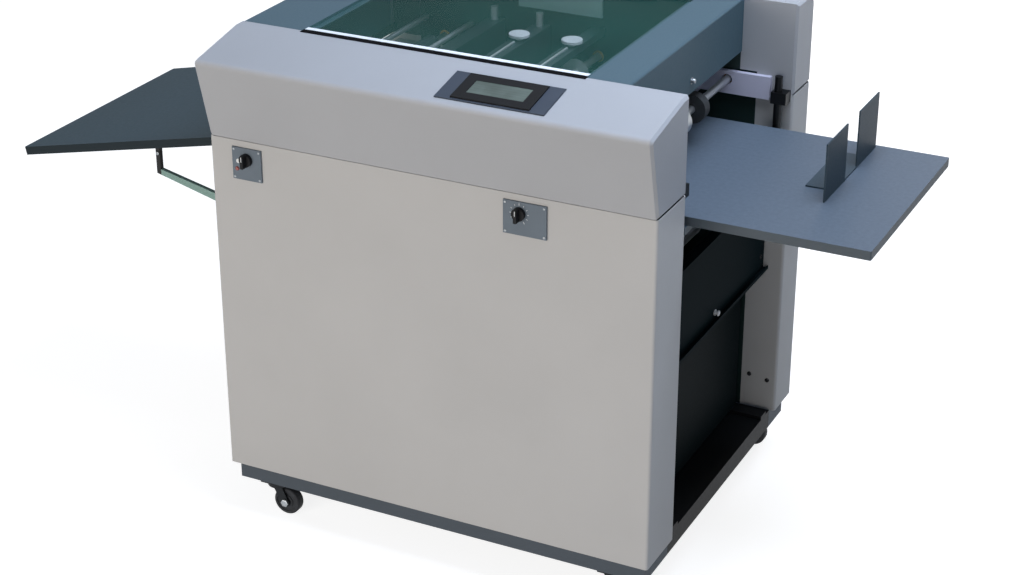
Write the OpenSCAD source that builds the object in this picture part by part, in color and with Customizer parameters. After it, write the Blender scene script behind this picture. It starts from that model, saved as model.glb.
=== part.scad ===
// Floor-standing creasing machine: two cabinets joined by a paper path that slits, creases and cuts.
// X runs along the paper path, feed end at +X. Y runs from the front cabinet to the rear one. Z is up.
// The pieces are drawn about the cabinets' centre, and placed() moves the origin under the whole machine.

/* [Cabinets] */
// Length of both cabinets along the paper path
cab_w = 940; // [860:10:1100]
// Thickness of the front cabinet
front_t = 130; // [120:1:170]
// Thickness of the rear cabinet
rear_t = 100; // [90:1:140]
// Clear throat between the two cabinets, unless the table or the tray needs more
throat = 575; // [560:5:650]
// Height of the lower panels
panel_h = 728; // [700:1:800]
// Sheet thickness of the covers
sheet_t = 2; // [1.5:0.5:3]
// Outer bend radius of the upright corners
bend_r = 6; // [4:0.5:12]
// Width of the sheet folded back on the throat side
return_w = 80; // [60:1:95]
// Gap at the seam between a panel and its hood
seam_gap = 1; // [1:0.5:4]
// Thickness of the inner side plates
frame_t = 8; // [6:1:10]

/* [Hoods] */
// Height of the front hood's nose above the seam
hood_h = 163; // [140:1:200]
// How far the nose leans out over the panel
hood_lean = 42; // [20:1:70]
// Rise of the sloping console from the nose to the ridge
console_rise = 29; // [10:1:50]
// Depth of the ridge behind the panel face
ridge_y = 105; // [95:1:112]
// Radius of the nose
nose_r = 10; // [4:1:16]
// Radius of the ridge behind the console
ridge_r = 30; // [12:1:40]
// Thickness of a hood's end cap
cap_t = 12; // [8:1:20]
// Chamfer round the outside of an end cap
cap_chamfer = 5; // [2:0.5:7]
// Radius of the rear hood's top edge
rear_hood_r = 28; // [10:1:40]
// Distance from the feed end to the high opening in the throat walls
mouth_in = 190; // [170:1:220]
// Length of a cooling slot in the rear panel
louvre_l = 120; // [60:5:160]
// Width of a cooling slot
louvre_w = 6; // [3:0.5:9]
// Spacing of the cooling slots
louvre_pitch = 16; // [12:1:24]
// Slots in each bank
louvre_count = 8; // [3:1:12]

/* [Console] */
// Middle of the console plate along the machine
console_x = 146; // [100:1:180]
// Width of the console plate
console_w = 220; // [200:1:240]
// Depth of the console plate up the slope
console_d = 95; // [92:1:105]
// Distance from the nose up the slope to the console plate
console_up = 21; // [16:1:28]
// Thickness of the console plate
console_t = 2.5; // [1.5:0.5:4]
// Width of the touch panel's bezel
bezel_w = 158; // [140:1:180]
// Depth of the touch panel's bezel
bezel_d = 86; // [70:1:90]
// Height of the bezel above the console plate
bezel_t = 3; // [2:0.5:5]
// Depth of the touch panel's case below the hood
module_depth = 18; // [10:1:24]
// Margin between the bezel's edge and the case below it
module_in = 7; // [4:0.5:12]
// Width of the screen
screen_w = 114; // [100:1:126]
// Depth of the screen
screen_d = 44; // [36:1:54]
// Thickness of the screen glass
screen_t = 1.5; // [1:0.25:2]

/* [Controls] */
// Width of the power switch plate
switch_w = 65; // [50:1:80]
// Width of the dial plate
dial_w = 88; // [70:1:110]
// Height of both control plates
plate_h = 66; // [55:1:80]
// Thickness of the control plates
plate_t = 4; // [2:0.5:6]
// Distance from the delivery end to the middle of the power switch plate
switch_in = 84; // [70:1:130]
// Middle of the dial plate along the machine
dial_x = 210; // [150:1:260]
// Distance from the seam down to the middle of the plates
plate_drop = 47; // [44:1:70]
// Radius of a control knob
knob_r = 13; // [9:0.5:16]
// Height of a control knob
knob_h = 19; // [12:1:24]
// Radius of a control knob's spindle
spindle_r = 4; // [3:0.5:5]
// Height of the knobs above the middle of their plates
knob_up = 10; // [0:1:14]
// Distance from the dial knob to the middle of its plate
dial_in = 11; // [0:1:20]

/* [Base and casters] */
// Height of the base above the floor
caster_h = 78; // [74:1:100]
// Height of the base rails
base_h = 42; // [30:1:60]
// Width of the base rails
rail_w = 60; // [50:1:80]
// How far the base stands in from the ends of the cabinets
base_in = 12; // [4:1:30]
// How far the base stands in from the front and rear panels
base_back = 18; // [8:1:40]
// Thickness of the base floor
floor_t = 4; // [3:0.5:6]
// Distance from the end of a cabinet to a caster's kingpin
caster_in = 85; // [60:1:120]
// Diameter of a caster wheel
wheel_d = 60; // [50:1:62]
// Width of a caster wheel
wheel_w = 22; // [16:1:26]
// Trail of the wheel behind its kingpin
trail = 22; // [16:1:26]
// Side of a caster's square top plate
caster_plate = 56; // [50:1:60]
// Thickness of caster plates and fork cheeks
caster_t = 4; // [3:0.5:5]
// Radius of a kingpin
kingpin_r = 6; // [4:0.5:8]
// Radius of a caster axle
axle_r = 5; // [3:0.5:6]

/* [Top cover] */
// Left edge of the window
win_left = -331; // [-380:1:-300]
// Right edge of the window
win_right = 270; // [230:1:300]
// Depth of the window
win_d = 515; // [470:1:530]
// Distance from the feed end to the cover's upright side
skirt_in = 115; // [90:1:125]
// Height of the cover's upright side
skirt_h = 114; // [60:1:140]
// Outer bend radius of the cover
cover_r = 5; // [3:0.5:10]
// Depth of the downturned edges of the cover
flange_h = 24; // [15:1:30]
// Height of the guard at the delivery end above the paper
guard_up = 14; // [10:1:40]
// Thickness of the window lid
lid_t = 6; // [4:0.5:8]
// Gap left in front of the lid for the fingers
finger_gap = 8; // [6:1:14]
// Width of the ledges that carry the lid
ledge_w = 12; // [8:1:18]
// Radius of a lid hinge's knuckle
knuckle_r = 4; // [3.5:0.5:6]
// Radius of a lid hinge's pin
hinge_pin_r = 2; // [1.5:0.25:2.5]
// Width of a lid hinge
hinge_w = 64; // [45:1:90]
// Distance of each hinge from the middle of the window
hinge_out = 190; // [120:1:220]

/* [Paper path] */
// Distance from the seam down to the paper
paper_drop = 13; // [5:1:30]
// Distance from the feed end to the pick-up roller
pick_in = 140; // [130:1:155]
// Distance from the feed end to the feed rollers
feed_in = 270; // [250:1:300]
// Station of the slitter
slit_x = 35; // [15:1:55]
// Station of the creaser
crease_x = -85; // [-95:1:-75]
// Station of the cutter
cutter_x = -200; // [-215:1:-185]
// Distance from the delivery end to the exit rollers
exit_in = 140; // [125:1:170]
// Radius of the pick-up roller's tyres
pick_r = 30; // [24:1:34]
// Radius of the feed and exit rollers
roll_r = 20; // [17:0.5:24]
// Radius of the roller shafts
shaft_r = 8; // [6:0.5:9]
// Gap between paired rollers
nip = 0.4; // [0.3:0.1:1]
// Length of a roller sleeve
sleeve_l = 62; // [30:1:80]
// Sleeves on each roller
sleeve_count = 4; // [2:1:5]
// Distance of the outer sleeves from the side plates
sleeve_in = 60; // [40:1:90]
// Thickness of the deck plate
deck_t = 2; // [1.5:0.5:3]
// Width of the strip of deck left along each side
deck_strip = 4; // [3:0.5:6]
// Clear width round a roller or tool in the deck
slot_clear = 5; // [3:0.5:8]
// Outer radius of a shaft bush
bush_r = 13; // [11:0.5:15]
// Teeth on each shaft gear
gear_teeth = 16; // [12:2:24]
// Width of each shaft gear
gear_w = 12; // [8:1:18]
// Radius of the tie bars
tie_r = 10; // [8:0.5:14]
// Radius of the guide rods over the paper
guide_r = 6; // [4:0.5:8]
// Height of the guide rods above the paper
guide_up = 58; // [50:1:70]
// Distance from the end of the throat walls' opening to the last guide rod
guide_in = 15; // [10:1:25]

/* [Slitter] */
// Radius of the slitter knives
knife_r = 30; // [27:0.5:34]
// Overlap of the paired knives
knife_lap = 1.2; // [0.5:0.1:2]
// Thickness of an upper knife
knife_t = 3; // [2:0.5:4]
// Width of a lower knife collar
collar_w = 10; // [6:1:16]
// Side gap between paired knives
knife_gap = 0.3; // [0.2:0.1:0.6]
// Pairs of knives
knife_count = 4; // [2:2:6]
// Spacing of the knives
knife_pitch = 110; // [70:5:120]
// Width of the slitter bridge
bridge_w = 30; // [20:1:40]
// Height of the bridge above the paper
bridge_up = 78; // [72:1:90]
// Thickness of the bridge
bridge_t = 16; // [10:1:20]

/* [Creaser and cutter] */
// Width of the creasing beam and its matrix
beam_w = 36; // [28:1:44]
// Height of the moving beams
beam_h = 72; // [50:1:80]
// Gap between the beams and the paper
beam_up = 17; // [16:0.5:22]
// Thickness of the creasing rule
rule_t = 1.2; // [0.8:0.1:2]
// Gap between the creasing rule and the paper at rest
rule_up = 2.5; // [1.5:0.5:4]
// Width of the groove in the matrix
groove_w = 2.6; // [2.4:0.1:4]
// Depth of the groove in the matrix
groove_d = 6; // [4:0.5:8]
// Height of the matrix and of the cutter bed
bed_h = 60; // [40:1:80]
// Thickness of the cutter blade
blade_t = 4; // [3:0.5:6]
// Rise of the cutter's edge across the throat
blade_rise = 10; // [5:0.5:12]
// Side gap between the cutter blade and its bed
shear_gap = 0.3; // [0.2:0.1:0.5]
// Radius of the guide posts
post_r = 8; // [6:0.5:10]
// Height of the guide posts above the paper
post_h = 120; // [105:1:135]
// Distance of the guide posts from the side plates
post_in = 36; // [25:1:50]
// Radius of a cassette knob
cassette_r = 22; // [14:1:26]
// Height of a cassette knob
cassette_h = 14; // [8:1:18]
// Radius of the rod along a cassette
rod_r = 3; // [2:0.5:5]
// Length of the rod along a cassette, about the middle
rod_l = 280; // [150:5:290]
// Distance of the cassette knobs from the rear cabinet
cassette_in = 131; // [90:1:160]

/* [Feed table] */
// How far the table reaches past the cabinets
table_over = 342; // [280:1:400]
// Width of the table across the paper path
table_w = 497; // [440:1:505]
// Distance from the front cabinet to the table
table_gap = 30; // [28:1:45]
// How far the table reaches in past the pick-up roller
table_under = 55; // [45:1:70]
// Gap between the table's inner edge and the deck
table_play = 5; // [3:0.5:8]
// Thickness of the table
table_t = 18; // [12:1:24]
// Distance from the paper down to the table
table_drop = 43; // [40:1:60]
// Distance from the ends of the cabinets in to the lift rails
lift_in = 27; // [24:1:45]
// Radius of the lift rails
lift_r = 8; // [6:0.5:9]
// Length of the lift rails
lift_l = 234; // [225:1:300]
// Length of the lift rails above their upper brackets
rail_end = 32; // [10:1:34]
// Distance of the lift rails from the cabinet walls
lift_gap = 17; // [15:1:20]
// Height of the table carriage's bushes
carriage_h = 30; // [20:1:34]
// Where the back stops stand, past the ends of the cabinets
stop_over = 193; // [150:1:250]
// Width of one back stop
stop_w = 120; // [90:1:140]
// Height of the back stops
stop_h = 116; // [80:1:140]
// Gap between the two back stops
stop_gap = 72; // [40:1:100]
// Sheet thickness of the back stops
stop_t = 3; // [2:0.5:5]
// Length of the foot of the back stops
stop_foot = 55; // [35:1:70]
// Length of the register wall
register_l = 290; // [240:1:300]
// Thickness of the register wall
register_t = 12; // [8:1:14]
// Height of the register wall above the paper
register_h = 48; // [40:1:70]

/* [Exit tray] */
// Length of the exit tray down its slope
tray_l = 575; // [480:1:640]
// Fall of the exit tray, in degrees
tray_fall = 12.4; // [5:0.1:20]
// Width of the exit tray
tray_w = 555; // [500:1:557]
// Least gap between the tray and each cabinet
tray_gap = 9; // [5:1:12]
// Thickness of the exit tray
tray_t = 18; // [12:1:22]
// Distance from the paper down to the tray's hinge
tray_drop = 54; // [50:1:65]
// Distance of the tray's hinge from the cabinets
tray_off = 14; // [12:1:20]
// Radius of the tray's hinge pins
tray_pin_r = 5; // [3:0.5:6]
// Distance from the hinge to the stay's leg
stay_run = 230; // [180:1:280]
// Length of the stay's leg below the tray
stay_leg = 48; // [35:1:60]
// Height of the stay's bar
stay_h = 20; // [14:1:26]
// Thickness of the stay
stay_t = 10; // [6:1:14]
// Fall of the stay's bar towards the machine, in degrees
stay_fall = 12.2; // [8:0.1:18]

/* [Lower panels and waste bin] */
// Distance from the ends of the cabinets to the feed side panel
feed_panel_in = 44; // [42:1:50]
// Height of the feed side panel's lower edge
feed_panel_z = 455; // [445:1:500]
// Height of the feed side panel
feed_panel_h = 185; // [150:1:190]
// Depth of the folded edges of the lower panels
fold = 22; // [12:1:28]
// Distance from the ends of the cabinets to the bin's face
bin_in = 82; // [75:1:100]
// Length of the waste bin
bin_l = 640; // [500:5:700]
// Height of the waste bin
bin_h = 310; // [250:1:315]
// Wall of the waste bin
bin_t = 2.5; // [2:0.5:4]
// Side gap between the bin and the cabinets
bin_gap = 22; // [16:1:40]
// Height of the bin's runners
runner_h = 8; // [5:1:12]

/* [Drive] */
// Distance from the paper down to the motor
motor_drop = 230; // [180:1:300]
// Radius of the motor
motor_r = 36; // [25:1:45]
// Length of the motor
motor_l = 56; // [45:1:66]
// Radius of the pulley on the feed roller
pulley_r = 22; // [18:1:26]
// Radius of the motor's pulley
motor_pulley_r = 14; // [11:0.5:18]
// Width of the drive belt
belt_w = 10; // [8:1:12]
// Thickness of the drive belt
belt_t = 2; // [1.5:0.5:3]

/* [Clearances] */
// Radial running clearance of pins and shafts
run_gap = 0.05; // [0.02:0.01:0.09]
// Gap between faces that slide or rest on one another
slide_gap = 0.3; // [0.2:0.05:0.5]

/* [Hidden] */
$fn = 48;
half_w = cab_w / 2;
// The cabinets stand as far apart as the throat, the table or the tray needs
throat_w = max(throat, 2 * table_gap + table_w, 2 * tray_gap + tray_w);
rear_y = front_t + throat_w;
depth = rear_y + rear_t;
mid_throat = front_t + throat_w / 2;
pick_x = half_w - pick_in;
feed_x = half_w - feed_in;
exit_x = exit_in - half_w;
skirt_x = half_w - skirt_in;
switch_x = switch_in - half_w;
body_z = caster_h + base_h;
seam_z = body_z + panel_h;
nose_z = seam_z + hood_h;
ridge_z = nose_z + console_rise;
// Throat-side faces of the two side plates
plate_front = front_t - sheet_t;
plate_rear = rear_y + sheet_t;
paper_z = seam_z - paper_drop;
deck_z = paper_z - deck_t;
skirt_z = ridge_z - skirt_h;
guard_z = paper_z + guard_up;
plates_z = seam_z - plate_drop;
knob_z = plates_z + knob_up;
console_slope = atan2(console_rise, ridge_y + hood_lean);
roll_gap = roll_r + nip / 2;
knife_gap_z = knife_r - knife_lap / 2;
pick_z = paper_z + pick_r + slide_gap;
motor_z = paper_z - motor_drop;
gear_y = plate_rear + frame_t + sheet_t * 2;
pulley_y = plate_front - frame_t - 3 * sheet_t - belt_w;
motor_flange = 4;
motor_face = pulley_y - motor_flange;
table_z = paper_z - table_drop;
table_in = pick_x - table_under;
table_y = front_t + table_gap;
lift_x = half_w - lift_in;
lift_z = feed_panel_z + feed_panel_h + lift_gap;
tray_x = -half_w - tray_off;
tray_z = paper_z - tray_drop;
tray_lift = tray_t / 2 + 4;
win_back = front_t + win_d;
lid_axis_y = win_back;
lid_axis_z = ridge_z + knuckle_r + slide_gap;
beam_end = post_in - 2 * post_r;
// The machine's own extents, whose middle is the origin
hood_radii = [0, nose_r, ridge_r, 0, 0];
far_right = half_w + table_over;
far_front = min([for (p = rounded(hood_outline(seam_z), hood_radii)) p[0]]);
far_left = tray_x - tray_l * cos(tray_fall) - tray_lift * sin(tray_fall);
mid_x = (far_right + far_left) / 2;
mid_y = (depth + far_front) / 2;
caster_x = half_w - caster_in;
caster_y = [base_back + rail_w / 2, depth - base_back - rail_w / 2];
// Small fittings
fork_gap = 1.5;
crown_gap = 2;
crown_out = 9;
axle_out = 3;
hub_groove = 4;
inlet_w = 48;
inlet_h = 27;
inlet_wall = 3;
inlet_deep = 32;
socket_deep = 20;
inlet_x = -half_w / 2;
inlet_z = body_z + 90;
contact = [2, 16, 5];
contact_gap = [12, 3];
glass_drop = 0.5;
cover_in = 4;
leaf_d = 34;
leaf_gap = 1;
deck_in = 25;
tie_off = 70;
tie_low = feed_panel_z + 60;
shaft_end = 4;
bush_clear = 3;
tyre_w = 24;
tyre_gap = 93;
clamp_h = 14;
rail_bracket_h = 24;
clamp_wall = 4;
carriage_w = 40;
stop_aside = 80;
lug_w = 14;
bracket_d = 24;
bracket_h = 36;
bin_lip = 14;
standoff_r = 5;
motor_bore = 12;
corner_r = 3;
hinge_xs = [(win_left + win_right) / 2 - hinge_out, (win_left + win_right) / 2 + hinge_out];
lift_ys = [front_t + lift_gap, rear_y - lift_gap];
post_ys = [plate_front + post_in, plate_rear - post_in];
edge_ys = [post_ys[0] + 1.5 * post_r, post_ys[1] - 1.5 * post_r];
shaft_front = plate_front - frame_t - shaft_end;
shaft_rear = gear_y + gear_w + shaft_end;
// Stations of the shafts, each [x, z]
shafts = [
    [pick_x, pick_z], [feed_x, paper_z - roll_gap], [feed_x, paper_z + roll_gap],
    [slit_x, paper_z - knife_gap_z], [slit_x, paper_z + knife_gap_z],
    [exit_x, paper_z - roll_gap], [exit_x, paper_z + roll_gap]];
// Colours of the finishes
pale = "#b3b3b0";
hood_grey = "#b4bac4";
teal = "#4a6272";
board = "#66788e";
dark = "#2b3840";
steel = "#b9bdc2";
black = "#1c1d1f";

// Outline helpers

function unit(v) = v / norm(v);
function half_angle(p, a, b) = acos(unit(a - p) * unit(b - p)) / 2;
function inward(p, a, b) = unit(unit(a - p) + unit(b - p));
function before(outline, i) = outline[(i + len(outline) - 1) % len(outline)];
function after(outline, i) = outline[(i + 1) % len(outline)];
// A convex outline moved inwards by t
function inset(outline, t) = [for (i = [0:len(outline) - 1])
    let (p = outline[i], a = before(outline, i), b = after(outline, i))
    p + inward(p, a, b) * t / sin(half_angle(p, a, b))];
// The points of a fillet of radius r at corner p between neighbours a and b
function fillet(p, a, b, r) =
    let (h = half_angle(p, a, b), c = p + inward(p, a, b) * r / sin(h),
        s = p + unit(a - p) * r / tan(h) - c, e = p + unit(b - p) * r / tan(h) - c,
        from = atan2(s[1], s[0]), turn = (atan2(e[1], e[0]) - from + 540) % 360 - 180)
    [for (k = [0:0.125:1]) c + r * [cos(from + turn * k), sin(from + turn * k)]];
function rounded(outline, radii) = [for (i = [0:len(outline) - 1])
    each radii[i] > 0 ? fillet(outline[i], before(outline, i), after(outline, i), radii[i]) : [outline[i]]];

module placed() {
    translate([-mid_x, -mid_y, 0]) children();
}

// A box between two corners
module block(low, high) {
    translate(low) cube(high - low);
}

// A (y, z) outline drawn out along X
module along_x(x0, x1) {
    translate([x0, 0, 0]) rotate([90, 0, 90]) linear_extrude(x1 - x0) children();
}

// An (x, z) outline drawn out along Y
module along_y(y0, y1) {
    translate([0, y1, 0]) rotate([90, 0, 0]) linear_extrude(y1 - y0) children();
}

// A round bar along Y
module bar_y(x, z, y0, y1, r) {
    translate([x, y0, z]) rotate([-90, 0, 0]) cylinder(r = r, h = y1 - y0);
}

module round_rect(x0, y0, x1, y1, r) {
    translate([x0 + r, y0]) square([x1 - x0 - 2 * r, y1 - y0]);
    translate([x0, y0 + r]) square([x1 - x0, y1 - y0 - 2 * r]);
    for (x = [x0 + r, x1 - r], y = [y0 + r, y1 - r]) translate([x, y]) circle(r);
}

// Base and casters

module base_frame() placed() color(dark) {
    x_out = half_w - base_in;
    y_out = [base_back, depth - base_back];
    bin_y = [front_t + bin_gap, rear_y - bin_gap];
    difference() {
        block([-x_out, y_out[0], caster_h], [x_out, y_out[1], body_z]);
        block([-x_out + rail_w, y_out[0] + rail_w, caster_h - 1],
            [x_out - rail_w, y_out[1] - rail_w, body_z - floor_t]);
    }
    for (y = [bin_y[0], bin_y[1] - rail_w / 2])
        block([half_w - bin_in - bin_l, y, body_z], [x_out, y + rail_w / 2, body_z + runner_h]);
}

module caster_plates() placed() color(steel)
    for (x = [-caster_x, caster_x], y = caster_y) translate([x, y, 0]) {
        block([-caster_plate / 2, -caster_plate / 2, caster_h - caster_t],
            [caster_plate / 2, caster_plate / 2, caster_h]);
        translate([0, 0, wheel_d + caster_t]) cylinder(r = kingpin_r, h = caster_h - wheel_d - 2 * caster_t);
    }

module caster_fork(x, y) placed() color(steel) translate([x, y, 0]) {
    cheek_in = wheel_w / 2 + fork_gap;
    top_z = wheel_d + caster_t;
    crown_t = caster_h - caster_t - crown_gap - top_z;
    difference() {
        union() {
            translate([0, 0, top_z]) cylinder(r = wheel_w / 2 + caster_t + crown_out, h = crown_t);
            for (side = [-cheek_in - caster_t, cheek_in]) along_y(side, side + caster_t) {
                polygon([[-2 * axle_r, top_z + crown_t], [2 * axle_r + crown_gap, top_z + crown_t],
                    [trail + 2 * axle_r, wheel_d / 2], [trail - 2 * axle_r, wheel_d / 2]]);
                translate([trail, wheel_d / 2]) circle(2 * axle_r);
            }
            axle_end = cheek_in + caster_t + axle_out;
            bar_y(trail, wheel_d / 2, -axle_end, axle_end, axle_r);
        }
        translate([0, 0, top_z - 1]) cylinder(r = kingpin_r + run_gap, h = crown_t + 2);
    }
}

module caster_wheel(x, y) placed() color(black) translate([x + trail, y, wheel_d / 2]) rotate([-90, 0, 0])
    rotate_extrude($fn = 64) {
        tread_r = wheel_w / 5;
        difference() {
            union() {
                translate([axle_r + run_gap, -wheel_w / 2]) square([wheel_d / 2 - tread_r - axle_r, wheel_w]);
                translate([wheel_d / 2 - 2 * tread_r, -wheel_w / 2 + tread_r])
                    square([2 * tread_r, wheel_w - 2 * tread_r]);
                for (side = [-1, 1])
                    translate([wheel_d / 2 - tread_r, side * (wheel_w / 2 - tread_r)]) circle(tread_r);
            }
            for (side = [-1, 1])
                translate([wheel_d / 4, side * wheel_w / 2 - hub_groove / 2])
                    square([wheel_d / 8, hub_groove]);
            translate([0, -wheel_w]) square([axle_r + run_gap, 2 * wheel_w]);
        }
    }

// Cabinets

// A cabinet skin in plan, open between its two returns on the side that faces the throat
module skin_plan(y0, y1, throat_y) {
    difference() {
        round_rect(-half_w, y0, half_w, y1, bend_r);
        round_rect(-half_w + sheet_t, y0 + sheet_t, half_w - sheet_t, y1 - sheet_t, bend_r - sheet_t);
        translate([-half_w + return_w, throat_y - sheet_t - 1])
            square([cab_w - 2 * return_w, 2 * sheet_t + 2]);
    }
}

module front_panel() placed() color(pale) difference() {
    translate([0, 0, body_z]) linear_extrude(panel_h - seam_gap) skin_plan(0, front_t, front_t);
    for (x = [switch_x, dial_x - dial_in])
        bar_y(x, knob_z, -1, sheet_t + 1, spindle_r + 2);
}

module rear_panel() placed() color(pale) difference() {
    translate([0, 0, body_z]) linear_extrude(panel_h - seam_gap) skin_plan(rear_y, depth, rear_y);
    for (bank = [-1, 1], row = [0:louvre_count - 1])
        translate([bank * half_w / 2, depth - sheet_t - 1, body_z + panel_h / 2 + row * louvre_pitch])
            rotate([-90, 0, 0]) linear_extrude(sheet_t + 2)
                round_rect(-louvre_l / 2, -louvre_w / 2, louvre_l / 2, louvre_w / 2, 0.45 * louvre_w);
    inlet_hole(depth - sheet_t - 1, depth + 1);
}

module inlet_hole(y0, y1) {
    block([inlet_x - inlet_w / 2, y0, inlet_z], [inlet_x + inlet_w / 2, y1, inlet_z + inlet_h]);
}

module power_inlet() placed() color(black) {
    difference() {
        inlet_hole(depth - inlet_deep, depth);
        block([inlet_x - inlet_w / 2 + inlet_wall, depth - socket_deep, inlet_z + inlet_wall],
            [inlet_x + inlet_w / 2 - inlet_wall, depth + 1, inlet_z + inlet_h - inlet_wall]);
    }
    for (side = [-1, 0, 1])
        translate([inlet_x + side * contact_gap[0] - contact[0] / 2, depth - socket_deep - 1,
            inlet_z + inlet_h / 2 - contact[2] / 2 + (side == 0 ? 1 : -1) * contact_gap[1]])
                cube(contact);
}

// The front hood's (y, z) outline, its lower edge at z0 on the line of its leaning face
function hood_outline(z0) = [
    [(seam_z - z0) * hood_lean / hood_h, z0],
    [-hood_lean, nose_z], [ridge_y, ridge_z], [front_t, ridge_z], [front_t, z0]];
function rear_outline(z0) = [[rear_y, z0], [rear_y, ridge_z], [depth, ridge_z], [depth, z0]];

module on_console() {
    translate([console_x, -hood_lean, nose_z]) rotate([console_slope, 0, 0]) translate([0, console_up, 0])
        children();
}

// The open middle of a hood's throat wall: high over the tools, and low beside the feed table
module hood_mouth(wall_y) {
    low = [-half_w + return_w, wall_y - sheet_t - 1, seam_z - 1];
    block(low, [half_w - mouth_in, wall_y + sheet_t + 1, ridge_z - flange_h]);
    block(low, [half_w - return_w, wall_y + sheet_t + 1, pick_z + bush_r + 3 * bush_clear]);
}

module front_hood() placed() color(hood_grey) difference() {
    along_x(-half_w + cap_t, half_w - cap_t) polygon(rounded(hood_outline(seam_z), hood_radii));
    along_x(-half_w, half_w)
        polygon(rounded(inset(hood_outline(seam_z - 3 * sheet_t), sheet_t),
            [0, nose_r - sheet_t, ridge_r - sheet_t, 0, 0]));
    on_console() block([-bezel_w / 2 + module_in, console_d / 2 - bezel_d / 2 + module_in, -module_depth],
        [bezel_w / 2 - module_in, console_d / 2 + bezel_d / 2 - module_in, module_depth]);
    hood_mouth(front_t);
}

module rear_hood() placed() color(hood_grey) difference() {
    along_x(-half_w + cap_t, half_w - cap_t)
        polygon(rounded(rear_outline(seam_z), [0, 0, rear_hood_r, 0]));
    along_x(-half_w, half_w)
        polygon(rounded(inset(rear_outline(seam_z - 3 * sheet_t), sheet_t),
            [0, 0, rear_hood_r - sheet_t, 0]));
    hood_mouth(rear_y);
}

// An end cap on a convex outline: a slab whose outer edge is chamfered
module end_cap(outline, side) {
    thin = 0.01;
    mirror([side < 0 ? 1 : 0, 0, 0]) hull() {
        along_x(half_w - cap_t, half_w - cap_chamfer) polygon(outline);
        along_x(half_w - thin, half_w) polygon(inset(outline, cap_chamfer));
    }
}

module hood_caps() placed() color(hood_grey) for (side = [-1, 1]) {
    end_cap(rounded(hood_outline(seam_z), hood_radii), side);
    end_cap(rounded(rear_outline(seam_z), [0, 0, rear_hood_r, 0]), side);
}

module console_plate() placed() color("#707680") on_console() difference() {
    block([-console_w / 2, 0, 0], [console_w / 2, console_d, console_t]);
    block([-bezel_w / 2 + module_in, console_d / 2 - bezel_d / 2 + module_in, -1],
        [bezel_w / 2 - module_in, console_d / 2 + bezel_d / 2 - module_in, console_t + 1]);
}

module touch_panel() placed() color(black) on_console() translate([0, console_d / 2, 0]) difference() {
    union() {
        block([-bezel_w / 2, -bezel_d / 2, console_t], [bezel_w / 2, bezel_d / 2, console_t + bezel_t]);
        block([-bezel_w / 2 + module_in, -bezel_d / 2 + module_in, -module_depth],
            [bezel_w / 2 - module_in, bezel_d / 2 - module_in, console_t]);
    }
    block([-screen_w / 2, -screen_d / 2, console_t + bezel_t - screen_t - glass_drop],
        [screen_w / 2, screen_d / 2, console_t + bezel_t + 1]);
}

module screen_glass() placed() color("#8b9a8c") on_console() translate([0, console_d / 2, 0])
    block([-screen_w / 2, -screen_d / 2, console_t + bezel_t - screen_t - glass_drop],
        [screen_w / 2, screen_d / 2, console_t + bezel_t - glass_drop]);

module control_plates() placed() color("#70767f") difference() {
    for (plate = [[switch_x, switch_w], [dial_x, dial_w]])
        block([plate[0] - plate[1] / 2, -plate_t, plates_z - plate_h / 2],
            [plate[0] + plate[1] / 2, 0, plates_z + plate_h / 2]);
    for (x = [switch_x, dial_x - dial_in])
        bar_y(x, knob_z, -plate_t - 1, 1, spindle_r + run_gap);
}

// A knob with a raised pointer bar across its face
module control_knob(x) placed() color(black) translate([x, 0, knob_z]) {
    seat = -plate_t - slide_gap;
    skirt = seat - 0.4 * knob_h;
    bar_y(0, 0, skirt, seat, knob_r);
    along_y(seat - knob_h, skirt) intersection() {
        circle(knob_r);
        square([0.5 * knob_r, 2 * knob_r], center = true);
    }
    bar_y(0, 0, seat, 2 * plate_t, spindle_r);
}

module side_frame(y) placed() color(dark) difference() {
    block([-half_w + cap_t, y, body_z], [half_w - cap_t, y + frame_t, ridge_z - sheet_t]);
    for (s = shafts) bar_y(s[0], s[1], y - 1, y + frame_t + 1, bush_r);
}

module front_side_frame() side_frame(plate_front - frame_t);

module rear_side_frame() side_frame(plate_rear);

module shaft_bushes() placed() color("#b58b4a")
    for (s = shafts, y = [plate_front - frame_t, plate_rear]) difference() {
        bar_y(s[0], s[1], y, y + frame_t, bush_r);
        bar_y(s[0], s[1], y - 1, y + frame_t + 1, shaft_r + run_gap);
    }

// Bars that tie the side plates under the path, and rods that keep the sheets down over it
module tie_bars() placed() color(steel) {
    under_deck = deck_z - deck_t - tie_r;
    for (x = [(feed_x + slit_x) / 2, (exit_x + cutter_x) / 2, guide_in + return_w - half_w])
        bar_y(x, paper_z + guide_up, plate_front, plate_rear, guide_r);
    for (place = [[(feed_x + slit_x) / 2, under_deck], [(exit_x + cutter_x) / 2, under_deck],
            [feed_x + tie_off, tie_low], [exit_x - tie_off / 2, tie_low]])
        bar_y(place[0], place[1], plate_front, plate_rear, tie_r);
}

module feed_panel() placed() color(teal) {
    x = half_w - feed_panel_in;
    top = feed_panel_z + feed_panel_h;
    block([x - sheet_t, front_t, feed_panel_z], [x, rear_y, top]);
    block([x - fold, front_t, top - sheet_t], [x, rear_y, top]);
    block([x - sheet_t, front_t, feed_panel_z], [x + fold / 2, rear_y, feed_panel_z + sheet_t]);
    block([x + fold / 2 - sheet_t, front_t, feed_panel_z], [x + fold / 2, rear_y, feed_panel_z + fold / 3]);
}

module delivery_panel() placed() color(teal) {
    x = -half_w + fold / 2;
    top = tray_z - tray_t - fold;
    block([x, front_t, body_z], [x + sheet_t, rear_y, top]);
    for (z = [body_z, top - sheet_t])
        block([x, front_t, z], [x + fold, rear_y, z + sheet_t]);
}

// Top cover and window lid

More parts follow.
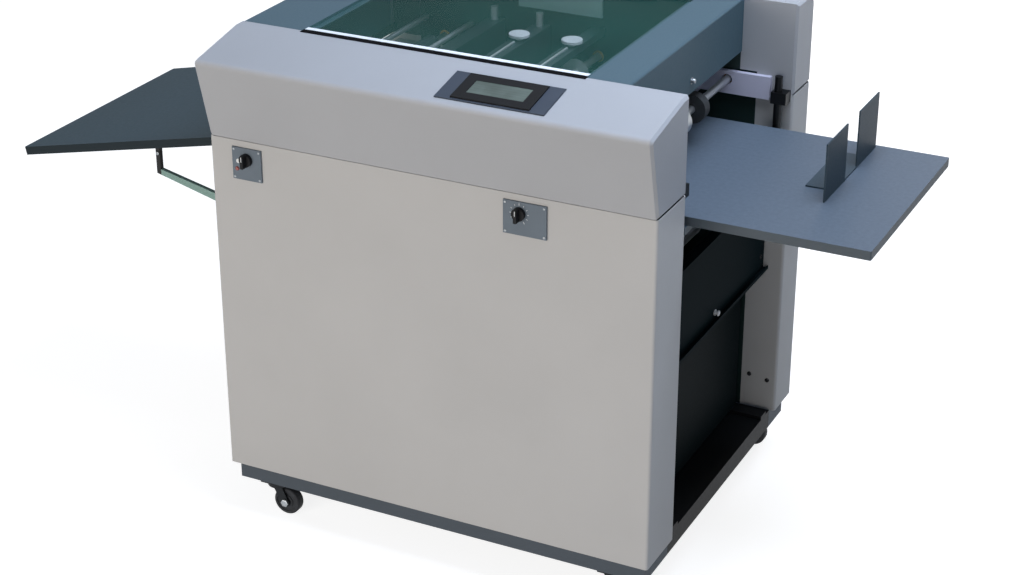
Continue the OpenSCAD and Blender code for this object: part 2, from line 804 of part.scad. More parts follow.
// The bent sheet in section: a guard over the delivery slot, the top, and a side with a hem over the feed
module cover_section() {
    left = -half_w + cover_in;
    hem = skirt_x - fold / 2;
    inner_r = cover_r - sheet_t;
    polygon(rounded([[left, guard_z], [left, ridge_z], [skirt_x, ridge_z], [skirt_x, skirt_z],
        [hem, skirt_z], [hem, skirt_z + sheet_t], [skirt_x - sheet_t, skirt_z + sheet_t],
        [skirt_x - sheet_t, ridge_z - sheet_t], [left + sheet_t, ridge_z - sheet_t],
        [left + sheet_t, guard_z]], [0, cover_r, cover_r, 0, 0, 0, 0, inner_r, inner_r, 0]));
}

module top_cover() placed() color(teal) {
    difference() {
        union() {
            along_y(front_t, rear_y) cover_section();
            for (y = [front_t, rear_y - sheet_t])
                block([-half_w + cover_in + cover_r, y, ridge_z - flange_h],
                    [skirt_x - cover_r, y + sheet_t, ridge_z]);
        }
        block([win_left, front_t - 1, ridge_z - sheet_t - 1], [win_right, win_back, ridge_z + 1]);
    }
    for (x = [win_left - sheet_t, win_right])
        block([x, front_t, ridge_z - lid_t - slide_gap - sheet_t], [x + sheet_t, win_back, ridge_z]);
    for (x = [win_left, win_right - ledge_w])
        block([x, front_t, ridge_z - lid_t - slide_gap - sheet_t],
            [x + ledge_w, win_back, ridge_z - lid_t - slide_gap]);
}

module window_lid() placed() color([0.25, 0.45, 0.45, 0.6])
    translate([0, 0, ridge_z - lid_t]) linear_extrude(lid_t)
        round_rect(win_left + 2 * slide_gap, front_t + finger_gap, win_right - 2 * slide_gap,
            win_back - knuckle_r, corner_r);

module lid_hinges() placed() color(steel) for (x = hinge_xs) translate([x, lid_axis_y, 0]) {
    block([-hinge_w / 2, knuckle_r + leaf_gap, ridge_z], [hinge_w / 2, leaf_d, ridge_z + sheet_t]);
    for (side = [-1, 1]) translate([side * hinge_w / 3, 0, lid_axis_z]) rotate([0, 90, 0])
        translate([0, 0, -hinge_w / 6 + slide_gap]) {
            cylinder(r = knuckle_r, h = hinge_w / 3 - 2 * slide_gap);
            translate([0, 0, hinge_w / 6 - slide_gap])
                block([knuckle_r / 2, 0, -hinge_w / 6 + slide_gap],
                    [lid_axis_z - ridge_z, knuckle_r + 2 * leaf_gap, hinge_w / 6 - slide_gap]);
        }
    translate([-hinge_w / 2 + slide_gap, 0, lid_axis_z]) rotate([0, 90, 0])
        cylinder(r = hinge_pin_r, h = hinge_w - 2 * slide_gap);
}

module lid_clamps() placed() color(steel) for (x = hinge_xs) translate([x, lid_axis_y, 0]) {
    block([-hinge_w / 2, -leaf_d, ridge_z], [hinge_w / 2, -knuckle_r - leaf_gap, ridge_z + sheet_t]);
    difference() {
        union() {
            translate([-hinge_w / 6 + slide_gap, 0, lid_axis_z]) rotate([0, 90, 0])
                cylinder(r = knuckle_r, h = hinge_w / 3 - 2 * slide_gap);
            block([-hinge_w / 6 + slide_gap, -knuckle_r - 2 * leaf_gap, ridge_z + slide_gap],
                [hinge_w / 6 - slide_gap, -hinge_pin_r - leaf_gap / 2, lid_axis_z - knuckle_r / 2]);
        }
        translate([-hinge_w / 2, 0, lid_axis_z]) rotate([0, 90, 0])
            cylinder(r = hinge_pin_r + run_gap, h = hinge_w);
    }
}

// Paper path

module paper_deck() placed() color(steel) difference() {
    block([-half_w + deck_in, front_t, deck_z - deck_t], [table_in - table_play, rear_y, deck_z]);
    for (cut = [[feed_x, roll_r], [slit_x, knife_r], [crease_x, beam_w / 2 - slot_clear + 1],
            [cutter_x, beam_w / 2 - slot_clear + 1], [exit_x, roll_r]])
        block([cut[0] - cut[1] - slot_clear, front_t + deck_strip, deck_z - deck_t - 1],
            [cut[0] + cut[1] + slot_clear, rear_y - deck_strip, deck_z + 1]);
}

module register_wall() placed() color("#c9c9d6") difference() {
    deck_end = table_in - table_play;
    far_end = lift_x - lift_r - register_t;
    union() {
        block([far_end - register_l, rear_y - register_t, deck_z], [deck_end, rear_y, paper_z + register_h]);
        block([deck_end - 1, rear_y - register_t, paper_z], [far_end, rear_y, paper_z + register_h]);
    }
    for (s = shafts) bar_y(s[0], s[1], rear_y - register_t - 1, rear_y + 1, shaft_r + bush_clear);
}

// A shaft along Y through both side plates
module path_bar(x, z) {
    bar_y(x, z, shaft_front, shaft_rear, shaft_r);
}

// Evenly spaced sleeves on a shaft
module sleeves(x, z, r) {
    first = plate_front + sleeve_in;
    step = (plate_rear - plate_front - 2 * sleeve_in - sleeve_l) / (sleeve_count - 1);
    for (i = [0:sleeve_count - 1])
        bar_y(x, z, first + i * step, first + i * step + sleeve_l, r);
}

// Involute outline of a spur gear for two equal gears set centre_gap apart
function involute(angle) = tan(angle) * 180 / PI - angle;
function flank_angle(r, base) = involute(r > base ? acos(base / r) : 0);
function gear_outline(teeth, centre_gap) =
    let (pitch_r = centre_gap / 2, m = centre_gap / teeth, base = pitch_r * cos(20),
        tip = pitch_r + 0.85 * m, root = pitch_r - 1.2 * m,
        half_tooth = 84 / teeth, rise = (tip - base) / 3,
        radii = [root, base, base + rise, base + 2 * rise, tip],
        lean = [for (r = radii) half_tooth + involute(20) - flank_angle(r, base)])
    [for (tooth = [0:teeth - 1], side = [-1, 1], k = [0:4])
        let (i = side < 0 ? k : 4 - k, turn = tooth * 360 / teeth + side * lean[i])
        radii[i] * [cos(turn), sin(turn)]];

module shaft_gear(x, z, centre_gap, turn) {
    translate([x, gear_y + gear_w, z]) rotate([90, 0, 0]) rotate(turn)
        linear_extrude(gear_w) polygon(gear_outline(gear_teeth, centre_gap));
}

// A shaft geared to its partner: the teeth of an upper one stand half a pitch round
module path_shaft(x, z, centre_gap, upper) {
    path_bar(x, z);
    shaft_gear(x, z, centre_gap, upper ? 180 / gear_teeth : 0);
}

module pick_roller() placed() color(dark) {
    path_bar(pick_x, pick_z);
    for (side = [-1, 0, 1])
        translate([0, mid_throat + side * tyre_gap, 0])
            bar_y(pick_x, pick_z, -tyre_w / 2, tyre_w / 2, pick_r);
}

module feed_roller_lower() placed() color(dark) {
    path_shaft(feed_x, paper_z - roll_gap, 2 * roll_gap, false);
    sleeves(feed_x, paper_z - roll_gap, roll_r);
    bar_y(feed_x, paper_z - roll_gap, pulley_y - shaft_end, shaft_front + 1, shaft_r);
    bar_y(feed_x, paper_z - roll_gap, pulley_y, pulley_y + belt_w, pulley_r);
}

module feed_roller_upper() placed() color(dark) {
    path_shaft(feed_x, paper_z + roll_gap, 2 * roll_gap, true);
    sleeves(feed_x, paper_z + roll_gap, roll_r);
}

module exit_roller_lower() placed() color(dark) {
    path_shaft(exit_x, paper_z - roll_gap, 2 * roll_gap, false);
    sleeves(exit_x, paper_z - roll_gap, roll_r);
}

module exit_roller_upper() placed() color(dark) {
    path_shaft(exit_x, paper_z + roll_gap, 2 * roll_gap, true);
    sleeves(exit_x, paper_z + roll_gap, roll_r);
}

function knife_y(i) = mid_throat + (i - (knife_count - 1) / 2) * knife_pitch;

module slitter_lower() placed() color(steel) {
    path_shaft(slit_x, paper_z - knife_gap_z, 2 * knife_gap_z, false);
    for (i = [0:knife_count - 1])
        bar_y(slit_x, paper_z - knife_gap_z, knife_y(i), knife_y(i) + collar_w, knife_r);
}

// Upper knives are thin discs, bevelled to the edge that shears past the collar, on a clamping hub
module slitter_upper() placed() color(steel) {
    hub_y = collar_w + knife_t;
    path_shaft(slit_x, paper_z + knife_gap_z, 2 * knife_gap_z, true);
    for (i = [0:knife_count - 1])
        translate([slit_x, knife_y(i) + collar_w + knife_gap, paper_z + knife_gap_z]) rotate([-90, 0, 0])
            rotate_extrude() polygon([[0, 0], [knife_r, 0], [knife_r, knife_t / 3],
                [knife_r - 2 * knife_t, knife_t], [2 * shaft_r, knife_t], [2 * shaft_r, hub_y], [0, hub_y]]);
}

// The rod along a cassette, sunk a little into the beam at height z that carries it
module cassette_rod(x, z) {
    bar_y(x, z + rod_r / 2, mid_throat - rod_l / 2, rear_y - cassette_in - cassette_r - rod_r, rod_r);
}

module slitter_bridge() placed() color("#4c565c") {
    z = paper_z + bridge_up;
    block([slit_x - bridge_w / 2, plate_front, z], [slit_x + bridge_w / 2, plate_rear, z + bridge_t]);
    cassette_rod(slit_x, z + bridge_t);
}

// A flat round thumb knob standing on a cassette
module cassette_knob(x, z) placed() color("#e4e6e6") translate([x, rear_y - cassette_in, z])
    rotate_extrude() {
        neck = cassette_r / 3;
        half = cassette_h / 2;
        edge = cassette_h / 14;
        polygon([[0, 0], [neck, 0], [neck, half], [cassette_r - edge, half], [cassette_r, half + edge],
            [cassette_r, cassette_h - edge], [cassette_r - edge, cassette_h], [0, cassette_h]]);
    }

module slitter_knob() cassette_knob(slit_x, paper_z + bridge_up + bridge_t);

module crease_knob() cassette_knob(crease_x, paper_z + beam_up + beam_h);

// A bed between the side plates, its ends lowered to carry the deck's side strips
module tool_bed(x) {
    difference() {
        block([x - beam_w / 2, plate_front, deck_z - bed_h], [x + beam_w / 2, plate_rear, deck_z]);
        for (y = [plate_front - 1, rear_y - deck_strip - 1])
            block([x - beam_w, y, deck_z - deck_t], [x + beam_w, y + deck_strip + sheet_t + 2, deck_z + 1]);
    }
}

module crease_matrix() placed() color("#9aa0a4") difference() {
    tool_bed(crease_x);
    block([crease_x - groove_w / 2, plate_front + beam_end, deck_z - groove_d],
        [crease_x + groove_w / 2, plate_rear - beam_end, deck_z + 1]);
}

module cutter_bed() placed() color("#9aa0a4") difference() {
    tool_bed(cutter_x);
    block([cutter_x - blade_t - 2 * shear_gap, plate_front + beam_end, deck_z - bed_h / 2],
        [cutter_x, plate_rear - beam_end, deck_z + 1]);
}

module guide_posts() placed() color(steel) for (x = [crease_x, cutter_x + beam_w / 4], y = post_ys)
    translate([x, y, deck_z]) cylinder(r = post_r, h = post_h);

// A moving beam with guide bores for its two posts
module tool_beam(x) {
    z = paper_z + beam_up;
    difference() {
        block([x - beam_w / 2, plate_front + beam_end, z],
            [x + beam_w / 2, plate_rear - beam_end, z + beam_h]);
        for (y = post_ys) translate([x, y, z - 1]) cylinder(r = post_r + run_gap, h = beam_h + 2);
    }
}

module crease_head() placed() color("#59646a") {
    tool_beam(crease_x);
    block([crease_x - rule_t / 2, edge_ys[0], paper_z + rule_up],
        [crease_x + rule_t / 2, edge_ys[1], paper_z + beam_up + 1]);
    cassette_rod(crease_x, paper_z + beam_up + beam_h);
}

module cutter_head() placed() color("#59646a") {
    low = paper_z + rule_up;
    top = paper_z + beam_up + beam_h / 2;
    tool_beam(cutter_x + beam_w / 4);
    along_x(cutter_x - blade_t - shear_gap, cutter_x - shear_gap)
        polygon([[edge_ys[0], low], [edge_ys[1], low + blade_rise], [edge_ys[1], top], [edge_ys[0], top]]);
}

// Drive

module drive_motor() placed() color("#3a3f44") translate([feed_x, 0, motor_z]) {
    back = motor_face - motor_flange;
    corner = motor_r - standoff_r;
    difference() {
        union() {
            bar_y(0, 0, back - motor_l, back, motor_r);
            block([-motor_r, back, -motor_r], [motor_r, motor_face, motor_r]);
        }
        bar_y(0, 0, motor_face - motor_bore, motor_face + 1, shaft_r + run_gap);
    }
    for (x = [-corner, corner], z = [-corner, corner])
        bar_y(x, z, back, plate_front - frame_t, standoff_r);
}

module motor_pulley() placed() color(steel) translate([feed_x, 0, motor_z]) {
    bar_y(0, 0, motor_face - motor_bore + slide_gap, pulley_y + belt_w, shaft_r);
    bar_y(0, 0, pulley_y, pulley_y + belt_w, motor_pulley_r);
}

// The belt runs round the two pulleys, straight between their tangent points
function belt_outline(extra) =
    let (feed_z = paper_z - roll_gap, r1 = pulley_r + extra, r2 = motor_pulley_r + extra,
        tilt = asin((r1 - r2) / (feed_z - motor_z)), sweep = 180 + 2 * tilt)
    concat([for (k = [0:1 / 16:1]) [0, feed_z] + r1 * [cos(sweep * k - tilt), sin(sweep * k - tilt)]],
        [for (k = [0:1 / 16:1]) let (turn = 180 + tilt + (360 - sweep) * k)
            [0, motor_z] + r2 * [cos(turn), sin(turn)]]);

module drive_belt() placed() color(black) translate([feed_x, 0, 0])
    along_y(pulley_y + slide_gap, pulley_y + belt_w - slide_gap) difference() {
        polygon(belt_outline(slide_gap + belt_t));
        polygon(belt_outline(slide_gap));
    }

// Feed table

module feed_table() placed() color(board)
    translate([0, 0, table_z - table_t]) linear_extrude(table_t)
        round_rect(table_in, table_y, far_right, table_y + table_w, corner_r);

// A lift rail on each side of the table, clamped below and held by a broad bracket above
module lift_rails() placed() color(steel) for (y = lift_ys) {
    wall = y < mid_throat ? front_t : rear_y;
    reach = y + sign(mid_throat - y) * (lift_r + clamp_wall);
    half = lift_r + clamp_wall;
    bracket_z = lift_z + lift_l - rail_end;
    translate([lift_x, y, lift_z]) cylinder(r = lift_r, h = lift_l);
    block([lift_x - half, min(wall, reach), lift_z], [lift_x + half, max(wall, reach), lift_z + clamp_h]);
    block([lift_x - half, min(wall, reach), bracket_z - rail_bracket_h],
        [half_w - bend_r, max(wall, reach), bracket_z]);
}

module table_carriage() placed() color(dark) {
    top = table_z - table_t;
    ear = lift_r + clamp_wall;
    difference() {
        union() {
            block([lift_x - carriage_w / 2, lift_ys[0], top - carriage_h / 2],
                [lift_x + carriage_w / 2, lift_ys[1], top]);
            for (y = lift_ys) translate([lift_x, y, top - carriage_h]) cylinder(r = ear, h = carriage_h);
        }
        for (y = lift_ys)
            translate([lift_x, y, top - carriage_h - 1]) cylinder(r = lift_r + run_gap, h = carriage_h + 2);
    }
}

// Two upright stops on one foot that slides along the table
module back_stops() placed() color(dark) {
    x = half_w + stop_over;
    middle = table_y + table_w / 2 + stop_aside;
    apart = (stop_gap + stop_w) / 2;
    z = table_z + slide_gap;
    for (y = [middle - apart, middle + apart])
        block([x, y - stop_w / 2, z], [x + stop_t, y + stop_w / 2, z + stop_h]);
    block([x - stop_foot, middle - apart, z], [x + stop_t, middle + apart, z + stop_t]);
}

// Exit tray

module on_tray() {
    translate([tray_x, mid_throat, tray_z]) rotate([0, -tray_fall, 0]) mirror([1, 0, 0]) children();
}

module exit_tray() placed() color("#41545e") on_tray() difference() {
    union() {
        translate([0, 0, tray_lift - tray_t]) linear_extrude(tray_t)
            round_rect(1.4 * tray_pin_r, -tray_w / 2, tray_l, tray_w / 2, corner_r);
        for (side = [-1, 1]) translate([0, side * (tray_w / 2 - lug_w / 2), 0])
            along_y(-lug_w / 2, lug_w / 2) {
                circle(1.8 * tray_pin_r);
                translate([0, -tray_pin_r]) square([4 * tray_pin_r, 2 * tray_pin_r]);
            }
    }
    bar_y(0, 0, -tray_w, tray_w, tray_pin_r + run_gap);
}

module tray_brackets() placed() color("#59646a") for (side = [-1, 1]) {
    wall = mid_throat + side * throat_w / 2;
    back = wall + side * bracket_d;
    tip = mid_throat + side * (tray_w / 2 - lug_w);
    block([tray_x - 1.6 * tray_pin_r, min(wall, back), tray_z - bracket_h / 2],
        [-half_w, max(wall, back), tray_z + bracket_h / 2]);
    bar_y(tray_x, tray_z, min(wall, tip), max(wall, tip), tray_pin_r);
}

// Each stay hangs from the tray and props it off the delivery panel
module tray_stays() placed() color("#7e9a92") {
    foot_x = -half_w + fold / 2 - slide_gap;
    leg_x = tray_x - stay_run;
    leg_top = tray_z - stay_run * tan(tray_fall) + (tray_lift - tray_t) / cos(tray_fall);
    leg_low = leg_top - stay_leg;
    fall = (foot_x - leg_x) * tan(stay_fall);
    for (side = [-1, 1]) {
        y = mid_throat + side * (tray_w / 2 - 1.6 * stay_t);
        along_y(y - stay_t / 2, y + stay_t / 2) polygon([
            [leg_x, leg_top], [leg_x, leg_low - stay_h / 2],
            [foot_x, leg_low - fall - stay_h], [foot_x, leg_low - fall],
            [leg_x + stay_t, leg_low], [leg_x + stay_t, leg_top + stay_t * tan(tray_fall)]]);
    }
}

// Waste bin

module waste_bin() placed() color("#2c3d42") {
    x1 = half_w - bin_in;
    x0 = x1 - bin_l;
    y0 = front_t + bin_gap;
    y1 = rear_y - bin_gap;
    z = body_z + runner_h + slide_gap;
    difference() {
        block([x0, y0, z], [x1, y1, z + bin_h]);
        block([x0 + bin_t, y0 + bin_t, z + bin_t], [x1 - bin_t, y1 - bin_t, z + bin_h + 1]);
    }
    block([x1, y0, z + bin_h - bin_t], [x1 + bin_lip, y1, z + bin_h]);
    block([x1 + bin_lip - bin_t, y0, z + bin_h - bin_lip], [x1 + bin_lip, y1, z + bin_h]);
}

module power_knob() control_knob(switch_x);

module dial_knob() control_knob(dial_x - dial_in);

base_frame();
caster_plates();
front_panel();
front_hood();
hood_caps();
console_plate();
touch_panel();
screen_glass();
control_plates();
front_side_frame();
rear_side_frame();
rear_panel();
rear_hood();
top_cover();
lid_hinges();
feed_panel();
delivery_panel();
tie_bars();
paper_deck();
register_wall();
shaft_bushes();
crease_matrix();
cutter_bed();
guide_posts();
lift_rails();
drive_motor();
drive_belt();
power_inlet();
tray_brackets();
slitter_bridge();
slitter_knob();
window_lid();
lid_clamps();
feed_table();
table_carriage();
back_stops();
exit_tray();
tray_stays();
waste_bin();
pick_roller();
feed_roller_lower();
feed_roller_upper();
slitter_lower();
slitter_upper();
exit_roller_lower();
exit_roller_upper();
motor_pulley();
crease_head();
crease_knob();
cutter_head();
power_knob();
dial_knob();
caster_fork(-caster_x, caster_y[0]);  // fork_front_left
caster_fork(caster_x, caster_y[0]);  // fork_front_right
caster_fork(-caster_x, caster_y[1]);  // fork_rear_left
caster_fork(caster_x, caster_y[1]);  // fork_rear_right
caster_wheel(-caster_x, caster_y[0]);  // wheel_front_left
caster_wheel(caster_x, caster_y[0]);  // wheel_front_right
caster_wheel(-caster_x, caster_y[1]);  // wheel_rear_left
caster_wheel(caster_x, caster_y[1]);  // wheel_rear_right
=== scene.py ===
"""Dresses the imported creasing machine: finishes, small fittings, studio light and camera."""
import math

import bmesh
import bpy
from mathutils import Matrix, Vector


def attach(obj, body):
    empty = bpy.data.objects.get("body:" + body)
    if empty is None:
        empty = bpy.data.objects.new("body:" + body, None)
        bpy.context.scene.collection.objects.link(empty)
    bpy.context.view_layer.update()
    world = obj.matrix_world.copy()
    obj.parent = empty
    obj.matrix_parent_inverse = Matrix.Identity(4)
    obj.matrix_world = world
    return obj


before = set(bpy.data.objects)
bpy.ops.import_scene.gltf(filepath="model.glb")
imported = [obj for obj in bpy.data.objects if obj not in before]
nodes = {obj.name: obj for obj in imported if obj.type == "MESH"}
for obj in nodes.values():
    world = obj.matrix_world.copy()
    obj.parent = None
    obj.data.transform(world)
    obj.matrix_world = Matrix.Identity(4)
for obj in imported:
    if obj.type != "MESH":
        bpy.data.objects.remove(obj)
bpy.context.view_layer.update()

MM = 0.001
# The machine's own zero, the cabinets' middle on the front panel's face, from the row's origin
ZERO = Vector((118.189, -382.669, 0.0)) * MM


def at(x, y, z):
    """A point in millimetres from the machine's own zero, in the row frame."""
    return ZERO + Vector((x, y, z)) * MM


# Faces and stations of the machine that the dressing goes by, in millimetres from its own zero
PLATE_FACE = -4
FRONT_WALL = 130
REAR_WALL = 705
BACK_FACE = 805
DELIVERY_FACE = -459
FEED_FACE = 426
COVER_TOP = 1040
LID_TOP = 1042
SWITCH_X = -386
DIAL_X = 199
KNOB_Z = 811


# Materials

def linear(colour):
    """An sRGB hex colour as linear RGBA."""
    channels = [int(colour[i:i + 2], 16) / 255 for i in (1, 3, 5)]
    return [c / 12.92 if c <= 0.04045 else ((c + 0.055) / 1.055) ** 2.4 for c in channels] + [1.0]


def add(tree, kind, settings, feeds=None):
    """Adds a shader node: settings are properties or input values, and feeds link its inputs."""
    made = tree.nodes.new("ShaderNode" + kind)
    for key, value in settings.items():
        if isinstance(key, str) and hasattr(made, key):
            setattr(made, key, value)
        else:
            made.inputs[key].default_value = value
    for key, source in (feeds or {}).items():
        tree.links.new(source, made.inputs[key])
    return made


def new_material(name, **sockets):
    """A material with one principled shader, its constant sockets set by name."""
    material = bpy.data.materials.new(name)
    material.use_nodes = True
    tree = material.node_tree
    shader = tree.nodes["Principled BSDF"]
    for key, value in sockets.items():
        shader.inputs[key.replace("_", " ")].default_value = value
    place = add(tree, "TexCoord", {}).outputs["Object"]
    return material, tree, shader, place


def per_metre(size_mm):
    """Texture scale that gives features of about this size."""
    return 1000.0 / size_mm


def shade(colour, factor):
    """A linear colour made lighter or darker."""
    return [min(1.0, c * factor) for c in linear(colour)[:3]] + [1.0]


def mottle(tree, place, size_mm, low, high, detail=3.0):
    """A soft colour drift between two linear colours, with patches of about this size."""
    clouds = add(tree, "TexNoise", {"Scale": per_metre(size_mm), "Detail": detail},
                 {"Vector": place})
    ramp = add(tree, "ValToRGB", {}, {"Fac": clouds.outputs["Fac"]})
    first, last = ramp.color_ramp.elements
    first.position, last.position = 0.3, 0.7
    first.color, last.color = low, high
    return ramp.outputs["Color"]


def drift_between(tree, factor, limits):
    """A value that follows a factor between two limits."""
    return add(tree, "MapRange", {"To Min": limits[0], "To Max": limits[1]},
               {"Value": factor}).outputs["Result"]


def skin(tree, shader, place, size_mm, depth_mm, rough):
    """Fine surface relief of this size, and the roughness drift that goes with it."""
    grain = add(tree, "TexNoise", {"Scale": per_metre(size_mm), "Detail": 2.0},
                {"Vector": place}).outputs["Fac"]
    bump = add(tree, "Bump", {"Strength": 0.6, "Distance": depth_mm * MM}, {"Height": grain})
    tree.links.new(bump.outputs["Normal"], shader.inputs["Normal"])
    tree.links.new(drift_between(tree, grain, rough), shader.inputs["Roughness"])


def within(tree, value, low, high):
    """One where a value lies between two limits, and nought elsewhere."""
    return add(tree, "Math", {"operation": "COMPARE", 1: (low + high) / 2, 2: (high - low) / 2},
               {0: value}).outputs[0]


def both(tree, one, other):
    """One where two masks are both one."""
    return add(tree, "Math", {"operation": "MULTIPLY"}, {0: one, 1: other}).outputs[0]


TONE_DRIFT = 0.025


def powder_coat(name, colour, rough=(0.42, 0.56), gloss=0.25, second=None, zone=()):
    """Powder-coated sheet steel, baked: an even satin skin, a faint orange peel, slow tone drift.

    The peel of a real coat is about 2 mm and is drawn at 5 mm so that it shows.
    A matt coat has less gloss.
    A second colour covers a zone, given as axes with two limits in metres each; on the rear hood
    and the base it is painted shade."""
    material, tree, shader, place = new_material(name, Specular_IOR_Level=gloss)
    tone = mottle(tree, place, 260, shade(colour, 1 - TONE_DRIFT), shade(colour, 1 + TONE_DRIFT))
    if second:
        along = add(tree, "SeparateXYZ", {}, {"Vector": place}).outputs
        masks = [within(tree, along[axis], low, high) for axis, low, high in zone]
        inside = masks[0]
        for mask in masks[1:]:
            inside = both(tree, inside, mask)
        tone = add(tree, "Mix", {"data_type": "RGBA", 7: linear(second)},
                   {0: inside, 6: tone}).outputs[2]
    tree.links.new(tone, shader.inputs["Base Color"])
    skin(tree, shader, place, 5, 0.12, rough)
    return material


def laminate(name, face, side_colour, gloss=0.25):
    """Melamine-faced board: a fine speckled matt face, and a darker colour on all its side faces.
    """
    material, tree, shader, place = new_material(name, Specular_IOR_Level=gloss)
    speckle = mottle(tree, place, 9, shade(face, 0.93), shade(face, 1.07), detail=6.0)
    normal = add(tree, "NewGeometry", {}).outputs["Normal"]
    facing = add(tree, "SeparateXYZ", {}, {"Vector": normal})
    flat = add(tree, "Math", {"operation": "ABSOLUTE"}, {0: facing.outputs["Z"]})
    on_face = add(tree, "Math", {"operation": "GREATER_THAN", 1: 0.6}, {0: flat.outputs[0]})
    mix = add(tree, "Mix", {"data_type": "RGBA", 6: linear(side_colour)},
              {0: on_face.outputs[0], 7: speckle})
    tree.links.new(mix.outputs[2], shader.inputs["Base Color"])
    skin(tree, shader, place, 6, 0.08, (0.48, 0.6))
    return material


# Texture stretch of ground lines, which run from front to back, and of an even finish
GROUND = (1.0, 0.02, 1.0)
EVEN = (1.0, 1.0, 1.0)
# A height that is above everything, in metres
SKY = 2.0


def ground_metal(name, colour, rough=(0.24, 0.42), lay=GROUND, rod_above=None):
    """Ground or plated metal: bright, with fine lines along the lay, drawn 3 mm wide to show.

    A beam that carries a bright rod has it above this height, in millimetres."""
    material, tree, shader, place = new_material(name, Metallic=1.0)
    stretch = add(tree, "Mapping", {"Scale": lay}, {"Vector": place}).outputs["Vector"]
    lines = add(tree, "TexNoise", {"Scale": per_metre(3), "Detail": 4.0},
                {"Vector": stretch}).outputs["Fac"]
    tone = add(tree, "ValToRGB", {}, {"Fac": lines})
    tone.color_ramp.elements[0].color = shade(colour, 0.8)
    tone.color_ramp.elements[1].color = shade(colour, 1.12)
    finish = tone.outputs["Color"]
    if rod_above:
        height = add(tree, "SeparateXYZ", {}, {"Vector": place}).outputs["Z"]
        finish = add(tree, "Mix", {"data_type": "RGBA", 7: linear("#eceff1")},
                     {0: within(tree, height, rod_above * MM, SKY), 6: finish}).outputs[2]
    tree.links.new(finish, shader.inputs["Base Color"])
    tree.links.new(drift_between(tree, lines, rough), shader.inputs["Roughness"])
    return material


def moulded(name, colour, grain_mm=1.6, rough=(0.45, 0.6), depth_mm=0.05, gloss=0.35):
    """Injection-moulded plastic: even colour with the fine spark-eroded grain of its mould."""
    material, tree, shader, place = new_material(name, IOR=1.5, Specular_IOR_Level=gloss)
    tone = mottle(tree, place, 40, shade(colour, 0.96), shade(colour, 1.05))
    tree.links.new(tone, shader.inputs["Base Color"])
    skin(tree, shader, place, grain_mm, depth_mm, rough)
    return material


def rubber(name, colour, gloss=0.3):
    """Moulded rubber: dark and dull, with a dusty bloom that lightens patches."""
    material, tree, shader, place = new_material(name, Specular_IOR_Level=gloss)
    tone = mottle(tree, place, 14, linear(colour), shade(colour, 1.8), detail=5.0)
    tree.links.new(tone, shader.inputs["Base Color"])
    skin(tree, shader, place, 3, 0.1, (0.62, 0.82))
    return material


panel_paint = powder_coat("warm_grey_powder_coat", "#b6b5b3", gloss=0.08)
hood_paint = powder_coat("cool_grey_powder_coat", "#a4a5a7")
# The rear hood is cool grey, and dark as painted shade where its wall closes the works in under the
# top cover
rear_hood_painted_shade_coat = powder_coat("grey_and_painted_shade_powder_coat", "#a4a5a7", second="#1d2d2c",
                              zone=[("X", at(-468, 0, 0).x, at(353, 0, 0).x),
                                    ("Y", at(0, 700, 0).y, at(0, REAR_WALL + 0.9, 0).y)])
cover_paint = powder_coat("slate_blue_powder_coat", "#485e67", gloss=0.14)
lower_paint = powder_coat("deep_teal_powder_coat", "#151f22", gloss=0.004)
dark_paint = powder_coat("charcoal_powder_coat", "#35434c", gloss=0.1)
# The base is blue-grey under the cabinets, and black as painted shade between them, where the waste
# bin stands
base_coat_with_painted_shade = powder_coat("blue_grey_and_painted_shade_powder_coat", "#50575e", gloss=0.08, second="#111315",
                         zone=[("Y", at(0, 131, 0).y, at(0, 704, 0).y)])
inner_paint = powder_coat("dark_green_black_paint", "#1d2d2c", rough=(0.5, 0.65), gloss=0.08)
register_paint = powder_coat("lavender_white_powder_coat", "#c4c2d2")
drive_paint = powder_coat("pale_teal_powder_coat", "#b4d9d8")
# The stays are drawn black along their legs
stay_paint = powder_coat("grey_green_powder_coat", "#7e9a92", second="#121415",
                         zone=[("X", at(-720, 0, 0).x, at(-703.5, 0, 0).x)])
motor_paint = powder_coat("motor_grey_enamel", "#3a3f44", rough=(0.35, 0.5))
table_board = laminate("blue_grey_melamine_board", "#56616c", "#474f55")
tray_board = laminate("dark_slate_melamine_board", "#2f434c", "#262e32", gloss=0.08)
tool_steel = ground_metal("ground_tool_steel", "#b9bdc2")
zinc_steel = ground_metal("zinc_plated_steel", "#a2a7ab", rough=(0.32, 0.5), lay=EVEN)
satin_steel = ground_metal("satin_plated_steel", "#d4d8da", rough=(0.46, 0.6))
beam_alloy = ground_metal("dark_anodised_aluminium", "#6d777d", rough=(0.35, 0.5))
bridge_alloy = ground_metal("dark_anodised_bridge", "#6d777d", rough=(0.4, 0.55), rod_above=929.1)
crease_alloy = ground_metal("dark_anodised_crease_beam", "#6d777d", rough=(0.4, 0.55),
                            rod_above=924.1)
black_steel = ground_metal("black_oxide_steel", "#2a2c2e", rough=(0.38, 0.55), lay=EVEN)
bush_bronze = ground_metal("sintered_bronze", "#b58b4a", rough=(0.4, 0.6), lay=EVEN)
belt_rubber = rubber("neoprene_belt", "#1c1d1f")
tyre_rubber = rubber("moulded_rubber_wheel", "#222427")
# A near-black dull rubber for the finger gap's seal, which stands in as painted shadow of the gap
gap_shadow_black_rubber = rubber("black_seal_as_painted_gap_shadow", "#07080a", gloss=0.03)
black_abs = moulded("black_abs", "#151618", gloss=0.15)
grey_abs = moulded("grey_abs", "#646e77", gloss=0.2)
slate_abs = moulded("dark_slate_abs", "#3c434d", gloss=0.2)
bin_abs = moulded("dark_teal_polypropylene", "#0d1416", grain_mm=3, gloss=0.015)
knob_abs = moulded("pale_gloss_abs", "#e4e6e6", rough=(0.15, 0.25), depth_mm=0.01)
mark_ink = moulded("white_pad_print", "#d6d8d8", rough=(0.5, 0.6))
